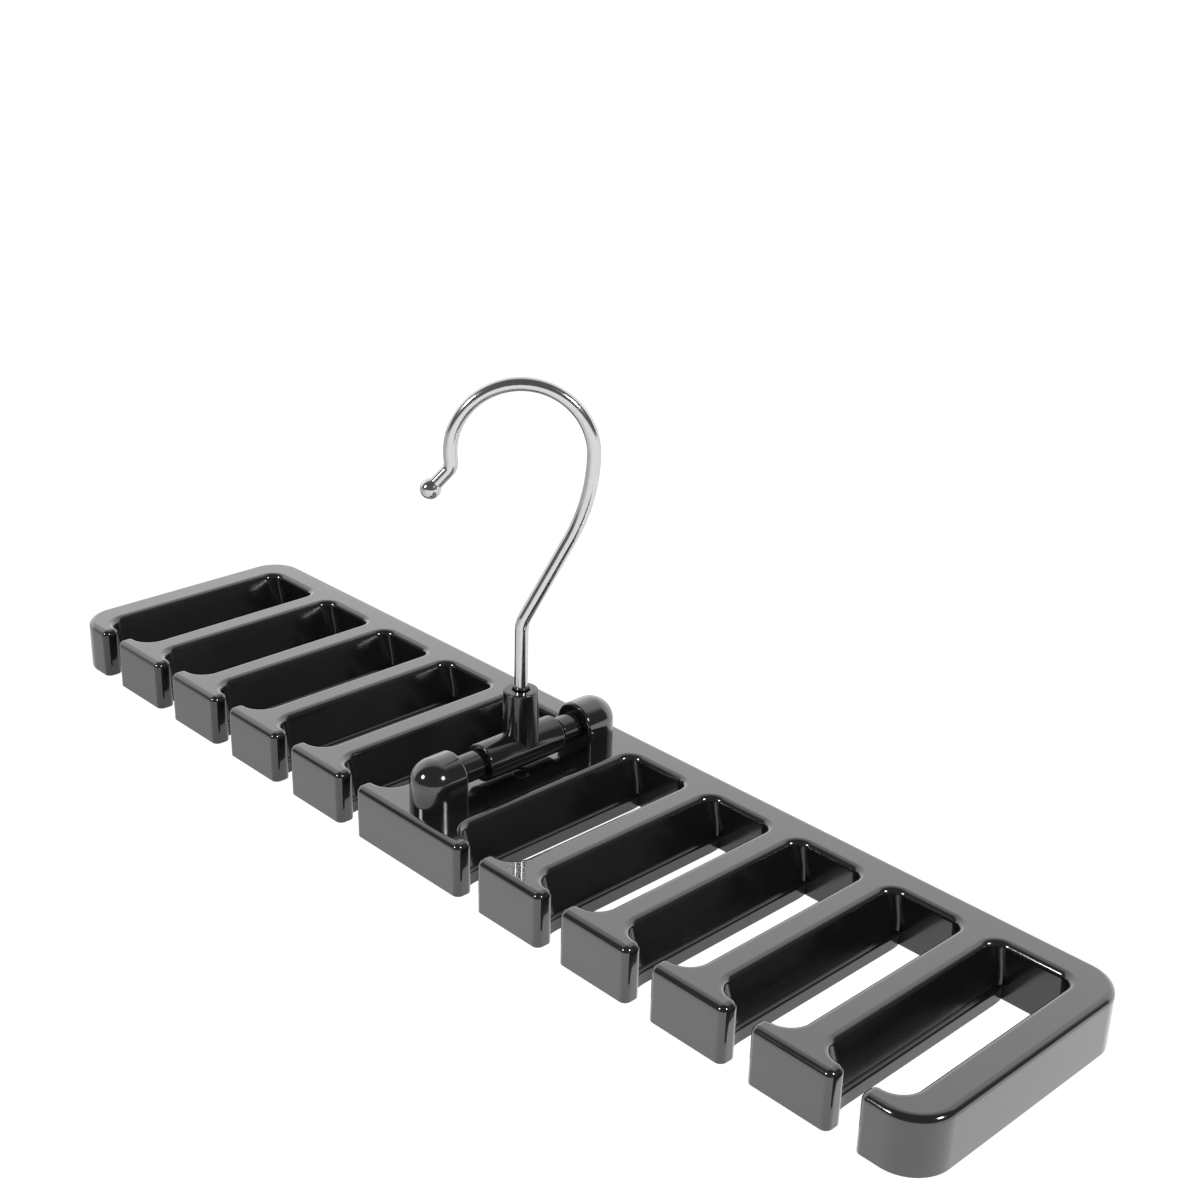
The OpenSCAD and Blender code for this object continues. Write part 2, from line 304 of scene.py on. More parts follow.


# %% [markdown]
# ## Finish: glossy black plastic
# The comb and the hinge are moulded in black plastic with a high gloss. What the eye
# reads as black is mostly what the surface mirrors, so the finish needs a dark base, a
# clear coat and a low roughness, and little else. Three things keep it from looking
# like a computer's black: the surface is very slightly wavy, as thick mouldings are
# where they shrink, so mirrored edges wobble; handling leaves patches that are a little
# less glossy; and a fine grain breaks the highlights' edges. Painted shade darkens the
# walls inside the slots and the feet of the lugs: a piece's own "dull" attribute
# thins the coat there and roughens it a little. The small barrel's coat is thinned the same
# way all over.

# %% Black plastic
# Scales of the patterns, roughly in waves to a metre, and the depths of those that make a relief
SHRINK_SCALE, SHRINK_DEPTH = 55, 0.03 * MM
GRAIN_SCALE, GRAIN_DEPTH, GRAIN_STRENGTH = 1400, 0.0004 * MM, 0.5
HANDLING_SCALE, SMUDGE_SPAN = 38, (0.48, 0.7)
HAIRLINE_SCALES, HAIRLINE_TURN = (60, 2600, 900), 0.35
SCRATCH_SPAN, SCRATCH_SINK = (0.66, 0.74), 0.6
BLACKEST, GREYEST = (0.3, grey(0.0055)), (0.75, grey(0.0095))
# Roughness of the clean plastic, and what each pattern and the painted shade add to it
CLEAN, SMUDGED, GRAINY, SCRATCHED, ROUGHER_IN_SHADE = 0.10, 0.06, 0.02, 0.05, 0.04
# How much of the coat the painted shade takes away where it is full
SHADE_COAT_LOSS = 0.9


def black_plastic():
    finish = Finish(bpy.data.materials.new("glossy_black_plastic"))
    where = finish.make("ShaderNodeTexCoord").out("Object")
    shrinkage = finish.noise(where, SHRINK_SCALE, detail=1.0)
    grain = finish.noise(where, GRAIN_SCALE, detail=3.0, roughness=0.6)
    handling = finish.noise(where, HANDLING_SCALE, detail=4.0, roughness=0.62)
    streaked = finish.make("ShaderNodeMapping", {"vector_type": "POINT"},
                           {"Vector": where, "Rotation": (0, 0, HAIRLINE_TURN),
                            "Scale": HAIRLINE_SCALES}).out("Vector")
    smudge = finish.fade(handling, SMUDGE_SPAN)
    scratch = finish.fade(finish.noise(streaked, scale=1.0), SCRATCH_SPAN, kind="LINEAR")
    # Painted shade: a piece's own mask thins the coat and roughens it where shade falls
    dull = finish.make("ShaderNodeAttribute", {"attribute_name": "dull"}).out("Fac")
    colour = finish.make("ShaderNodeValToRGB", {"stops": [BLACKEST, GREYEST]},
                         {"Fac": handling}).out("Color")
    waves = finish.relief(shrinkage, SHRINK_DEPTH)
    return finish.skin({
        "Base Color": colour,
        "Roughness": CLEAN + smudge * SMUDGED + grain * GRAINY + scratch * SCRATCHED + dull * ROUGHER_IN_SHADE,
        "Normal": finish.relief(grain - scratch * SCRATCH_SINK, GRAIN_DEPTH, GRAIN_STRENGTH, waves),
        "IOR": 1.5, "Specular IOR Level": 0.75,
        "Coat Weight": 1 - dull * SHADE_COAT_LOSS, "Coat Roughness": 0.03, "Coat IOR": 1.5})


BLACK = black_plastic()

# %% [markdown]
# ## Finish: plated wire
# The hook is bent from drawn steel wire with a bright plating. Drawing leaves very fine
# lines along the wire, and bending and plating leave it a little uneven, so its
# highlights are long soft bands. A pattern that follows a bent wire can't be read from
# its place in space, so the wire carries its own coordinate: a round one across, which
# has no seam, and the distance along. The ball and the wire's head have no drawn lines,
# so their pattern is the same in every direction.

# %% Plated wire
DRAWN_SCALES, EVEN_SCALES = (1900, 1900, 22), (900, 900, 900)
DRAWN_DEPTH, DRAWN_STRENGTH = 0.0012 * MM, 0.5
UNEVEN_SCALE, UNEVEN_DEPTH = 160, 0.012 * MM
TARNISH_SCALE, TARNISH_SHARE = 420, 0.4
DARK_PLATE, PALE_PLATE = (0.25, (0.50, 0.50, 0.508, 1)), (0.75, (0.64, 0.64, 0.645, 1))
BRIGHT, DRAWN, TARNISHED = 0.08, 0.08, 0.05


def plated(name, coordinate=None, scales=EVEN_SCALES):
    """A plating whose lines follow the piece's own coordinate, or else its place in space."""
    finish = Finish(bpy.data.materials.new(name))
    place = finish.make("ShaderNodeTexCoord").out("Object")
    where = place
    if coordinate:
        where = finish.make("ShaderNodeAttribute", {"attribute_name": coordinate}).out("Vector")
    stretched = finish.make("ShaderNodeMapping", {"vector_type": "POINT"},
                            {"Vector": where, "Scale": scales}).out("Vector")
    lines = finish.noise(stretched, scale=1.0, detail=4.0, roughness=0.6)
    uneven = finish.noise(place, UNEVEN_SCALE)
    tarnish = finish.noise(place, TARNISH_SCALE, detail=3.0, roughness=0.6)
    colour = finish.make("ShaderNodeValToRGB", {"stops": [DARK_PLATE, PALE_PLATE]},
                         {"Fac": lines * (1 - TARNISH_SHARE) + tarnish * TARNISH_SHARE}).out("Color")
    soft = finish.relief(uneven, UNEVEN_DEPTH)
    return finish.skin({
        "Base Color": colour, "Metallic": 1.0,
        "Roughness": BRIGHT + lines * DRAWN + tarnish * TARNISHED,
        "Normal": finish.relief(lines, DRAWN_DEPTH, DRAWN_STRENGTH, soft)})


WIRE_FINISH = plated("plated_wire", "wire_place", DRAWN_SCALES)
BALL_FINISH = plated("plated_ball")
print("finishes:", BLACK.name, WIRE_FINISH.name, BALL_FINISH.name)

# %% [markdown]
# ## The comb: one wall that goes round every slot
# The comb is one moulding, and its wall is one long skirt that runs round the outside
# and in and out of every slot. Seen from above, all ten slots have the same outline: a
# narrow mouth between two finger heads, a curved neck behind each head, a straight rail,
# and a rounded corner at the spine. Seen from the end, a rail has its own section: a
# foot, a ledge, a slope and a rounded top edge, where the other walls are upright.
# So each point of the outline carries a weight, 1 on a rail and 0 on a plain wall, and
# the skirt blends between the two sections. The curved corners take the weight of their
# angle, which makes them quarter ellipses that meet both walls smoothly.

# %% Sizes of the comb, in millimetres
# The whole comb, and the slots on each side of its middle: a row of these, and one at the end
FRONT, BACK, SIDE, TOP = -38.25, 38.25, 165.0, 15.0
FIRST_SLOT, PITCH, SLOTS_IN_A_ROW = 24.5, 30.0, 4
# A slot, and what bounds it: a head's thickness, the curve behind it, the corner, the spine
MOUTH_HALF, SLOT_HALF = 3.5, 10.9
HEAD_T, NECK, SLOT_CORNER, SPINE = 5.3, 5.5, 3.8, 9.0
RAIL_Y, WALL_Y = FRONT + HEAD_T + NECK, BACK - SPINE
# Radii of the top edge, the bottom edge and the comb's outer corners
EDGE, LOWER_EDGE, OUTER_CORNER = 1.9, 0.3, 10.26
# A rail's section: how far its slope spreads, and how far out, how high and how round its foot is
SPREAD, FOOT_OUT, FOOT_H, FOOT_R = 3.0, 1.3, 4.0, 0.8
# Steps of the arcs
EDGE_STEPS, NECK_STEPS, CORNER_STEPS, OUTER_STEPS = 7, 16, 12, 24


def arc(centre, radius, start, end, steps, inward=False):
    """Points of an arc, each with its outward normal and its weight. Only the corners inside a
    slot face inward, and those lead to a rail."""
    sign = -1 if inward else 1
    points = []
    for i in range(steps + 1):
        a = math.radians(start + (end - start) * i / steps)
        c, s = math.cos(a), math.sin(a)
        points.append((centre[0] + radius * c, centre[1] + radius * s, sign * c, sign * s,
                       abs(c) if inward else 0.0))
    return points


def half_slot():
    """Left half of a slot's outline, from a head's front corner to the spine, about a mouth at zero."""
    head_x = -MOUTH_HALF - EDGE
    points = arc((head_x, FRONT + EDGE), EDGE, -90, 0, EDGE_STEPS)
    points += arc((head_x, FRONT + HEAD_T - EDGE), EDGE, 0, 90, EDGE_STEPS)
    points += arc((-SLOT_HALF + NECK, RAIL_Y), NECK, 270, 180, NECK_STEPS, inward=True)
    points += arc((-SLOT_HALF + SLOT_CORNER, WALL_Y - SLOT_CORNER), SLOT_CORNER, 180, 90,
                  CORNER_STEPS, inward=True)
    return points


def slot_outline():
    left = half_slot()
    return left + [(-x, y, -nx, ny, w) for x, y, nx, ny, w in reversed(left)]


print("points round one slot:", len(slot_outline()))

# %% [markdown]
# ## The two wall sections
# Both sections have the same number of rings, so the skirt can blend them. A ring says
# how far the wall stands out of the outline, and how high it is. The slope of a rail
# meets the round of its top edge in a point that is worked out, so the round starts
# with no kink.

# %% Wall sections
LOWER_STEPS, FOOT_STEPS, TOP_STEPS = 3, 5, 8
SLOPE_SHARES = (0.0, 0.02, 0.35, 0.7)


def quarter(steps):
    """Angles from zero to a right angle."""
    return [math.pi / 2 * i / steps for i in range(steps + 1)]


def wall_sections():
    """Rings of a rail's wall and of a plain wall, as (standing out, height), from the underside up."""
    rail, plain = [], []

    def ring(rail_ring, plain_ring):
        rail.append(rail_ring)
        plain.append(plain_ring)

    out = SPREAD + FOOT_OUT
    for a in quarter(LOWER_STEPS):
        step, rise = LOWER_EDGE * (math.sin(a) - 1), LOWER_EDGE * (1 - math.cos(a))
        ring((out + step, rise), (step, rise))
    for a in quarter(FOOT_STEPS):
        z = FOOT_H - FOOT_R + FOOT_R * math.sin(a)
        ring((out - FOOT_R + FOOT_R * math.cos(a), z), (0.0, z))
    dx, dz = -EDGE - SPREAD, TOP - EDGE - FOOT_H
    to_round = math.hypot(dx, dz)
    lean = math.atan2(dz, dx) - math.asin(EDGE / to_round)
    run = math.sqrt(to_round ** 2 - EDGE ** 2)
    for share in SLOPE_SHARES:
        ring((SPREAD + run * math.cos(lean) * share, FOOT_H + run * math.sin(lean) * share),
             (0.0, FOOT_H + dz * share))
    start = lean - math.pi / 2
    for b in quarter(TOP_STEPS):
        a = start + b * (1 - start / (math.pi / 2))
        ring((-EDGE + EDGE * math.cos(a), TOP - EDGE + EDGE * math.sin(a)),
             (-EDGE + EDGE * math.cos(b), TOP - EDGE + EDGE * math.sin(b)))
    return rail, plain


RAIL_RINGS, PLAIN_RINGS = wall_sections()
print("rings:", len(RAIL_RINGS), "- a rail's foot stands out", SPREAD + FOOT_OUT, "mm")

# %% [markdown]
# ## Slices of the comb
# A slice reaches from the middle of one finger to the middle of the next, with its part
# of the top, the underside and the back. The eight common slices are all alike. The
# last one on each side goes on round the comb's outer corners, and a plain block fills
# the middle of the wide finger.

# %% Slice builder
# Painted shade: the walls in a slot get a thinned coat up to the round of the top edge, and it fades out
# over two rings
LAST_SHADED_RING, SHADE_FADE_RINGS = len(RAIL_RINGS) - TOP_STEPS - 1, 2
CLOSE = 0.01


def in_slot(x, y):
    return abs(x) < SLOT_HALF + CLOSE and FRONT + HEAD_T - CLOSE < y < WALL_Y + CLOSE


def quads(first, rings, count, closed=True):
    """Faces between rings of points that follow each other in a list."""
    faces = []
    for ring in range(rings - 1):
        for i in range(count if closed else count - 1):
            a = first + ring * count + i
            b = first + ring * count + (i + 1) % count
            faces.append((a, b, b + count, a + count))
    return faces


def slice_mesh(name, paths):
    """Skirts along the paths, closed by a top and an underside. Each path has the slot on its right."""
    points, faces, top, under, dull = [], [], [], [], []
    rings = len(RAIL_RINGS)
    for path in paths:
        first, count = len(points), len(path)
        for ring, ((rail_out, rail_z), (plain_out, plain_z)) in enumerate(zip(RAIL_RINGS, PLAIN_RINGS)):
            # Painted shade, full on a slot's walls and fading out at the round of the top edge
            shade_here = min(max(1 + (LAST_SHADED_RING - ring) / SHADE_FADE_RINGS, 0), 1)
            for x, y, nx, ny, w in path:
                dull.append(shade_here if in_slot(x, y) else 0)
                spread = w * max(rail_out, 0.0)
                inset = w * min(rail_out, 0.0) + (1 - w) * plain_out
                side = math.copysign(1.0, nx) if w else 0.0
                points.append(Vector((x + side * spread + nx * inset, y + ny * inset,
                                      w * rail_z + (1 - w) * plain_z)) * MM)
        faces += quads(first, rings, count, closed=False)
        under += range(first, first + count)
        top += range(first + (rings - 1) * count, first + rings * count)
    faces.append(tuple(top))
    faces.append(tuple(reversed(under)))
    obj = mesh_object(name, points, faces)
    mark_painted_shade(obj, dull)
    weld(obj)
    return obj


def straight(x_from, x_to, y, ny):
    return [(x_from, y, 0, ny, 0), (x_to, y, 0, ny, 0)]


# %% Three kinds of slice
half_pitch = PITCH / 2
finger_left, finger_right = straight(-half_pitch, half_pitch, FRONT, -1)
common = [finger_left] + slot_outline() + [finger_right]
common_slice = slice_mesh("common_slice", [common, straight(half_pitch, -half_pitch, BACK, 1)])

end_x = SIDE - FIRST_SLOT - SLOTS_IN_A_ROW * PITCH - OUTER_CORNER
ending = [finger_left] + slot_outline()
ending += arc((end_x, FRONT + OUTER_CORNER), OUTER_CORNER, -90, 0, OUTER_STEPS)
ending += arc((end_x, BACK - OUTER_CORNER), OUTER_CORNER, 0, 90, OUTER_STEPS)
ending += [(-half_pitch, BACK, 0, 1, 0)]
end_slice = slice_mesh("end_slice", [ending])

block_half = FIRST_SLOT - half_pitch
middle_block = slice_mesh("middle_block", [straight(-block_half, block_half, FRONT, -1),
                                           straight(block_half, -block_half, BACK, 1)])
for obj in (common_slice, end_slice, middle_block):
    report(obj)

# %% [markdown]
# ## Geometry Nodes put the comb together
# Slots that repeat along a line are a job for Geometry Nodes: a line of points one pitch
# apart, a slice on each, the end slice after the last, and the whole side mirrored. The
# mirror turns the faces inside out, so they are flipped back, and the slices are welded
# where they meet. A small class builds the tree, in the same way as the shaders.


# %% Geometry Nodes helper
class Nodes:
    """A geometry node tree with named inputs."""

    def __init__(self, name):
        self.tree = bpy.data.node_groups.new(name, "GeometryNodeTree")
        self.tree.interface.new_socket("Geometry", in_out="OUTPUT", socket_type="NodeSocketGeometry")
        self.tree.interface.new_socket("Geometry", in_out="INPUT", socket_type="NodeSocketGeometry")
        self.ids = {}
        self.entry = None

    def ask(self, name, kind):
        item = self.tree.interface.new_socket(name, in_out="INPUT", socket_type=kind)
        self.ids[name] = item.identifier

    def given(self, name):
        if self.entry is None:
            self.entry = self.tree.nodes.new("NodeGroupInput")
        return self.entry.outputs[name]

    def make(self, kind, settings=None, sockets=None):
        node = self.tree.nodes.new(kind)
        for name, value in (settings or {}).items():
            setattr(node, name, value)
        for name, value in (sockets or {}).items():
            for one in value if isinstance(value, list) else [value]:
                if isinstance(one, bpy.types.NodeSocket):
                    self.tree.links.new(one, node.inputs[name])
                else:
                    node.inputs[name].default_value = one
        return node.outputs

    def end(self, geometry, material):
        """Every tree ends with real geometry in its own material."""
        real = self.make("GeometryNodeRealizeInstances", {}, {"Geometry": geometry})["Geometry"]
        done = self.make("GeometryNodeSetMaterial", {},
                         {"Geometry": real, "Material": material})["Geometry"]
        self.make("NodeGroupOutput", {}, {"Geometry": done})

    def run(self, obj, values):
        """Puts the tree on an object, sets its inputs by identifier, and keeps the plain mesh."""
        modifier = obj.modifiers.new(self.tree.name, "NODES")
        modifier.node_group = self.tree
        for name, value in values.items():
            modifier[self.ids[name]] = value
        return keep_result(obj, obj.name)


# %% Comb tree
SEAM_GAP = 0.01


def comb_tree():
    g = Nodes("comb_of_slots")
    g.ask("Slots in a row", "NodeSocketInt")
    g.ask("First slot", "NodeSocketFloat")
    g.ask("Pitch", "NodeSocketFloat")
    g.ask("Weld gap", "NodeSocketFloat")
    g.ask("End slice", "NodeSocketObject")
    g.ask("Middle block", "NodeSocketObject")
    g.ask("Plastic", "NodeSocketMaterial")
    start = g.make("ShaderNodeCombineXYZ", {}, {"X": g.given("First slot")})["Vector"]
    step = g.make("ShaderNodeCombineXYZ", {}, {"X": g.given("Pitch")})["Vector"]
    line = g.make("GeometryNodeMeshLine", {"mode": "OFFSET"},
                  {"Count": g.given("Slots in a row"), "Start Location": start,
                   "Offset": step})["Mesh"]
    row = g.make("GeometryNodeInstanceOnPoints", {},
                 {"Points": line, "Instance": g.given("Geometry")})["Instances"]
    past = g.make("ShaderNodeMath", {"operation": "MULTIPLY_ADD"},
                  {0: g.given("Pitch"), 1: g.given("Slots in a row"),
                   2: g.given("First slot")})["Value"]
    last = g.make("ShaderNodeCombineXYZ", {}, {"X": past})["Vector"]
    ending = g.make("GeometryNodeObjectInfo", {}, {"Object": g.given("End slice")})["Geometry"]
    ending = g.make("GeometryNodeTransform", {},
                    {"Geometry": ending, "Translation": last})["Geometry"]
    side = g.make("GeometryNodeJoinGeometry", {}, {"Geometry": [row, ending]})["Geometry"]
    side = g.make("GeometryNodeRealizeInstances", {}, {"Geometry": side})["Geometry"]
    other = g.make("GeometryNodeTransform", {}, {"Geometry": side, "Scale": (-1, 1, 1)})["Geometry"]
    other = g.make("GeometryNodeFlipFaces", {}, {"Mesh": other})["Mesh"]
    middle = g.make("GeometryNodeObjectInfo", {}, {"Object": g.given("Middle block")})["Geometry"]
    whole = g.make("GeometryNodeJoinGeometry", {}, {"Geometry": [side, other, middle]})["Geometry"]
    whole = g.make("GeometryNodeMergeByDistance", {},
                   {"Geometry": whole, "Distance": g.given("Weld gap")})["Geometry"]
    g.end(whole, g.given("Plastic"))
    return g


common_slice.name = "comb"
comb = comb_tree().run(common_slice, {
    "Slots in a row": SLOTS_IN_A_ROW, "First slot": FIRST_SLOT * MM, "Pitch": PITCH * MM,
    "Weld gap": SEAM_GAP * MM, "End slice": end_slice, "Middle block": middle_block,
    "Plastic": BLACK})
for obj in (end_slice, middle_block):
    bpy.data.objects.remove(obj)
shade(comb)
report(comb)

# %% [markdown]
# ## The two lugs
# Each lug is a block with a round top that ends in a dome, with a blind hole for the
# hinge's trunnion in its flat inner face. Cut anywhere across the hinge, a lug is the
# same arch, only smaller near the dome, so it is lofted from arches whose size follows
# a quarter circle. A last small quarter circle rounds the rim of the inner face.

# %% Lugs
# The hinge's axis, and the places of the two inner faces along it
AXIS_Z, FRONT_IN, REAR_IN = 21.3, -22.0, 20.2
# A lug: its radius, its length before the dome, its rim's round, and how deep it sinks in
LUG_R, LUG_LEN, LUG_RIM, SUNK = 6.5, 6.3, 0.85, 0.25
# The blind hole, and how much wider its edge is
BORE_R, BORE_DEPTH, FLARE, FLARE_DEPTH = 2.66, 4.5, 1.06, 0.15
ARCH_STEPS, LEG_STEPS, DOME_STEPS, RIM_STEPS = 40, 4, 16, 5
# Painted shade on a lug: below the axis its coat thins, to this much at most, and would be fully thinned
# this far down
LUG_SHADE, FULL_SHADE_DROP = 0.7, 3


def arch(size, y):
    """Closed loop of an arch of this half width, from its lower left round the top to its lower right."""
    foot = TOP - SUNK
    leg = [foot + (AXIS_Z - foot) * i / LEG_STEPS for i in range(LEG_STEPS)]
    loop = [(-size, y, z) for z in leg]
    for i in range(ARCH_STEPS + 1):
        a = math.pi - math.pi * i / ARCH_STEPS
        loop.append((size * math.cos(a), y, AXIS_Z + size * math.sin(a)))
    return loop + [(size, y, z) for z in reversed(leg)]


def lug_loops():
    """Loops of a lug, from the tip of its dome to the bottom of its hole. Its inner face is at zero."""
    loops = []
    for a in quarter(DOME_STEPS):
        loops.append(arch(LUG_R * math.sin(a), -LUG_LEN - LUG_R * math.cos(a)))
    for a in quarter(RIM_STEPS):
        loops.append(arch(LUG_R - LUG_RIM * (1 - math.cos(a)), -LUG_RIM + LUG_RIM * math.sin(a)))
    angles = [math.atan2(z - AXIS_Z, x) for x, y, z in loops[-1]]
    for radius, y in ((BORE_R * FLARE, 0.0), (BORE_R, -FLARE_DEPTH),
                      (BORE_R, -BORE_DEPTH), (0.0, -BORE_DEPTH)):
        loops.append([(radius * math.cos(a), y, AXIS_Z + radius * math.sin(a)) for a in angles])
    return loops


def lug_pair():
    loops = lug_loops()
    points, faces = [], []
    # The rear lug is the front one mirrored, so its faces run the other way round
    for inner_face, sense in ((FRONT_IN, 1), (REAR_IN, -1)):
        faces += [face[::-sense] for face in quads(len(points), len(loops), len(loops[0]))]
        for loop in loops:
            points += [Vector((x, inner_face + sense * y, z)) * MM for x, y, z in loop]
    obj = mesh_object("hinge_lugs", points, faces)
    weld(obj, outward=True)
    obj.data.materials.append(BLACK)
    # Painted shade at the lug's feet, growing below the axis
    mark_painted_shade(obj, [min(max((AXIS_Z - vertex.co.z / MM) / FULL_SHADE_DROP, 0), LUG_SHADE)
                    for vertex in obj.data.vertices])
    return obj


lugs = lug_pair()
shade(lugs)
report(lugs)

# %% [markdown]
# ## The swivel barrel
# One moulding turns between the lugs: a barrel with a groove and a collar at each end,
# a trunnion that sits in each lug, and the boss that holds the hook. Turned parts are
# made by revolving a profile. The boss and the barrel are revolved apart, joined, and
# bored for the wire with a Boolean, which is the way a solid modeller would do it.

# %% Turned parts
ROUND_STEPS, BALL_STEPS, SOFT_STEPS = 96, 64, 5
SOFT_SHARE = 0.45


def revolve(name, profile, axis, place, steps=ROUND_STEPS):
    """Revolves a profile of (radius, distance along the axis) that starts and ends at radius zero."""
    points = []
    for radius, along in profile:
        for i in range(steps):
            a = 2 * math.pi * i / steps
            c, s = radius * math.cos(a), radius * math.sin(a)
            local = {"Y": (s, along, c), "Z": (c, s, along)}[axis]
            points.append(Vector([p + q for p, q in zip(place, local)]) * MM)
    obj = mesh_object(name, points, quads(0, len(profile), steps))
    weld(obj, outward=True)
    return obj


def rounded(profile, radius):
    """Rounds each corner of a profile that asks for it. A point is (radius, along, True for a round)."""
    result = []
    for i, (r, z, soft) in enumerate(profile):
        if not soft:
            result.append((r, z))
            continue
        here = Vector((r, z))
        before, after = Vector(profile[i - 1][:2]) - here, Vector(profile[i + 1][:2]) - here
        size = min(radius, before.length * SOFT_SHARE, after.length * SOFT_SHARE)
        start, end = here + before.normalized() * size, here + after.normalized() * size
        for k in range(SOFT_STEPS + 1):
            t = k / SOFT_STEPS
            p = start * (1 - t) ** 2 + here * 2 * t * (1 - t) + end * t ** 2
            result.append((p.x, p.y))
    return result


# %% Sizes of the barrel, the boss and the wire's seat, in millimetres
BARREL_R, BARREL_Y, BARREL_LEN = 5.2, -0.25, 25.9
COLLAR_R, GROOVE_R, GROOVE_W = 3.8, 3.0, 1.2
TRUNNION_R, TRUNNION_LEN, PLAY = 2.6, 4.4, 0.1
BOSS_Y, BOSS_H, BOSS_TOP, BOSS_FOOT = 1.0, 17.1, 4.65, 5.0
MOULD_ROUND = 0.5
# The wire, its running clearance, and the head that holds it in its seat under the barrel
WIRE_R, RUN, HEAD_R, HEAD_H = 1.8, 0.06, 2.9, 1.8
SEAT_H = BARREL_R - math.sqrt(BARREL_R ** 2 - HEAD_R ** 2) + HEAD_H + PLAY
SEAT_TOP = SEAT_H - BARREL_R
# The wide mouth of the boss, with its flared rim, and where the boring starts and ends
MOUTH_R, MOUTH_DEPTH, RIM_R, RIM_DEPTH = 2.4, 1.2, 2.55, 0.15
BORE_FROM, BORE_PAST, JUST_PAST = -7, 1, 0.01
BARREL_DULL = 0.8


def half_barrel(waist, gap):
    """Profile from the trunnion's end to the end of the barrel's wide length, for a lug this far away."""
    collar_end, trunnion_end, groove_end = gap - PLAY, gap + TRUNNION_LEN, waist + GROOVE_W
    return [(0, trunnion_end, False), (TRUNNION_R, trunnion_end, True), (TRUNNION_R, collar_end, False),
            (COLLAR_R, collar_end, True), (COLLAR_R, groove_end, True), (GROOVE_R, groove_end, False),
            (GROOVE_R, waist, False), (BARREL_R, waist, True)]


# %% Barrel, boss and bore
rear = half_barrel(BARREL_Y + BARREL_LEN / 2 - BOSS_Y, REAR_IN - BOSS_Y)
ahead = half_barrel(BOSS_Y - BARREL_Y + BARREL_LEN / 2, BOSS_Y - FRONT_IN)
both_ends = rear + [(r, -z, soft) for r, z, soft in reversed(ahead)]
centre = (0, BOSS_Y, AXIS_Z)
barrel = revolve("swivel_barrel_piece", rounded(both_ends, MOULD_ROUND), "Y", centre)
boss = revolve("boss", rounded([(0, 0, False), (BOSS_FOOT, 0, False), (BOSS_TOP, BOSS_H, True),
                                (0, BOSS_H, False)], MOULD_ROUND), "Z", centre)
bore = revolve("bore", [(0, BORE_FROM), (HEAD_R + RUN, BORE_FROM), (HEAD_R + RUN, SEAT_TOP),
                        (WIRE_R + RUN, SEAT_TOP), (WIRE_R + RUN, BOSS_H - MOUTH_DEPTH),
                        (MOUTH_R, BOSS_H - MOUTH_DEPTH), (MOUTH_R, BOSS_H - RIM_DEPTH),
                        (RIM_R, BOSS_H + JUST_PAST), (RIM_R, BOSS_H + BORE_PAST),
                        (0, BOSS_H + BORE_PAST)], "Z", centre)
for operation, tool in (("UNION", boss), ("DIFFERENCE", bore)):
    cut = barrel.modifiers.new(operation.lower(), "BOOLEAN")
    cut.operation, cut.object, cut.solver = operation, tool, "EXACT"
barrel = keep_result(barrel, "swivel_barrel_moulding")
for obj in (boss, bore):
    bpy.data.objects.remove(obj)
weld(barrel)
barrel.data.materials.clear()
barrel.data.materials.append(BLACK)
# The barrel's coat is thinned all over, through the same mask
mark_painted_shade(barrel, [BARREL_DULL] * len(barrel.data.vertices))
shade(barrel)
report(barrel)

# %% [markdown]
# ## The hook's wire
# The hook is one length of wire, bent flat: straight out of the boss, a knee, a leaning
# length, a long sweep that opens into the loop, and a small bend before the tip. Its
# middle line is written as arcs and straights in the hook's own plane. Geometry Nodes
# then sweep a circle along that line, and store the wire's own coordinate on the way.

# %% Sizes of the hook, in millimetres and degrees
HOOK_TURN = math.radians(47)
LOOP_R, LOOP_H, LOOP_OFF, LOOP_PAST = 17.9, 82.2, 0.4, 8
SWEEP_R, LEAN, KNEE_R, SHANK_MIDDLE = 49.0, 27, 8.0, 20
TIP_R, TIP_TURN, TIP_LEN = 3.0, 50, 6.6
BALL_R, BALL_SEAT = 2.7, 1.6
# One more point on the leaning length, between the foot of the sweep and the knee
FOOT_SHARE, KNEE_SHARE = 0.6, 0.05
BEND_STEP, TIP_STEP, FEWEST_STEPS = 3.0, 6.0, 4
WIRE_SIDES = 32


# %% Middle line of the wire
def in_plane(u, v):
    """A place in the hook's plane, as a place in the frame."""
    return Vector((u * math.cos(HOOK_TURN), BOSS_Y + u * math.sin(HOOK_TURN), AXIS_Z + v)) * MM


def on_circle(middle, radius, angle):
    return (middle[0] + radius * math.cos(angle), middle[1] + radius * math.sin(angle))


def bend(middle, radius, start, turn, step=BEND_STEP):
    """Points of a bend, in degrees from a start through a turn."""
    count = max(FEWEST_STEPS, round(abs(turn) / step))
    return [on_circle(middle, radius, math.radians(start + turn * i / count)) for i in range(count + 1)]


lean = math.radians(LEAN)
loop_middle = (-LOOP_OFF, LOOP_H)
sweep_middle = (LOOP_R - LOOP_OFF - SWEEP_R, LOOP_H)
foot_u, foot_v = on_circle(sweep_middle, SWEEP_R, -lean)
knee_v = foot_v - foot_u / math.tan(lean) - KNEE_R * math.tan(lean / 2)
lean_u = foot_u * FOOT_SHARE + KNEE_R * KNEE_SHARE
loop_end = math.radians(180 + LOOP_PAST)
tip_middle = on_circle(loop_middle, LOOP_R + TIP_R, loop_end)
tip_angle = math.radians(LOOP_PAST - TIP_TURN)
tip_from = on_circle(tip_middle, TIP_R, tip_angle)
ball_u, ball_v = on_circle(tip_from, TIP_LEN, tip_angle - math.pi / 2)
head_top = SEAT_TOP - PLAY
line = [(0, head_top - HEAD_H), (0, 0), (0, SHANK_MIDDLE)]
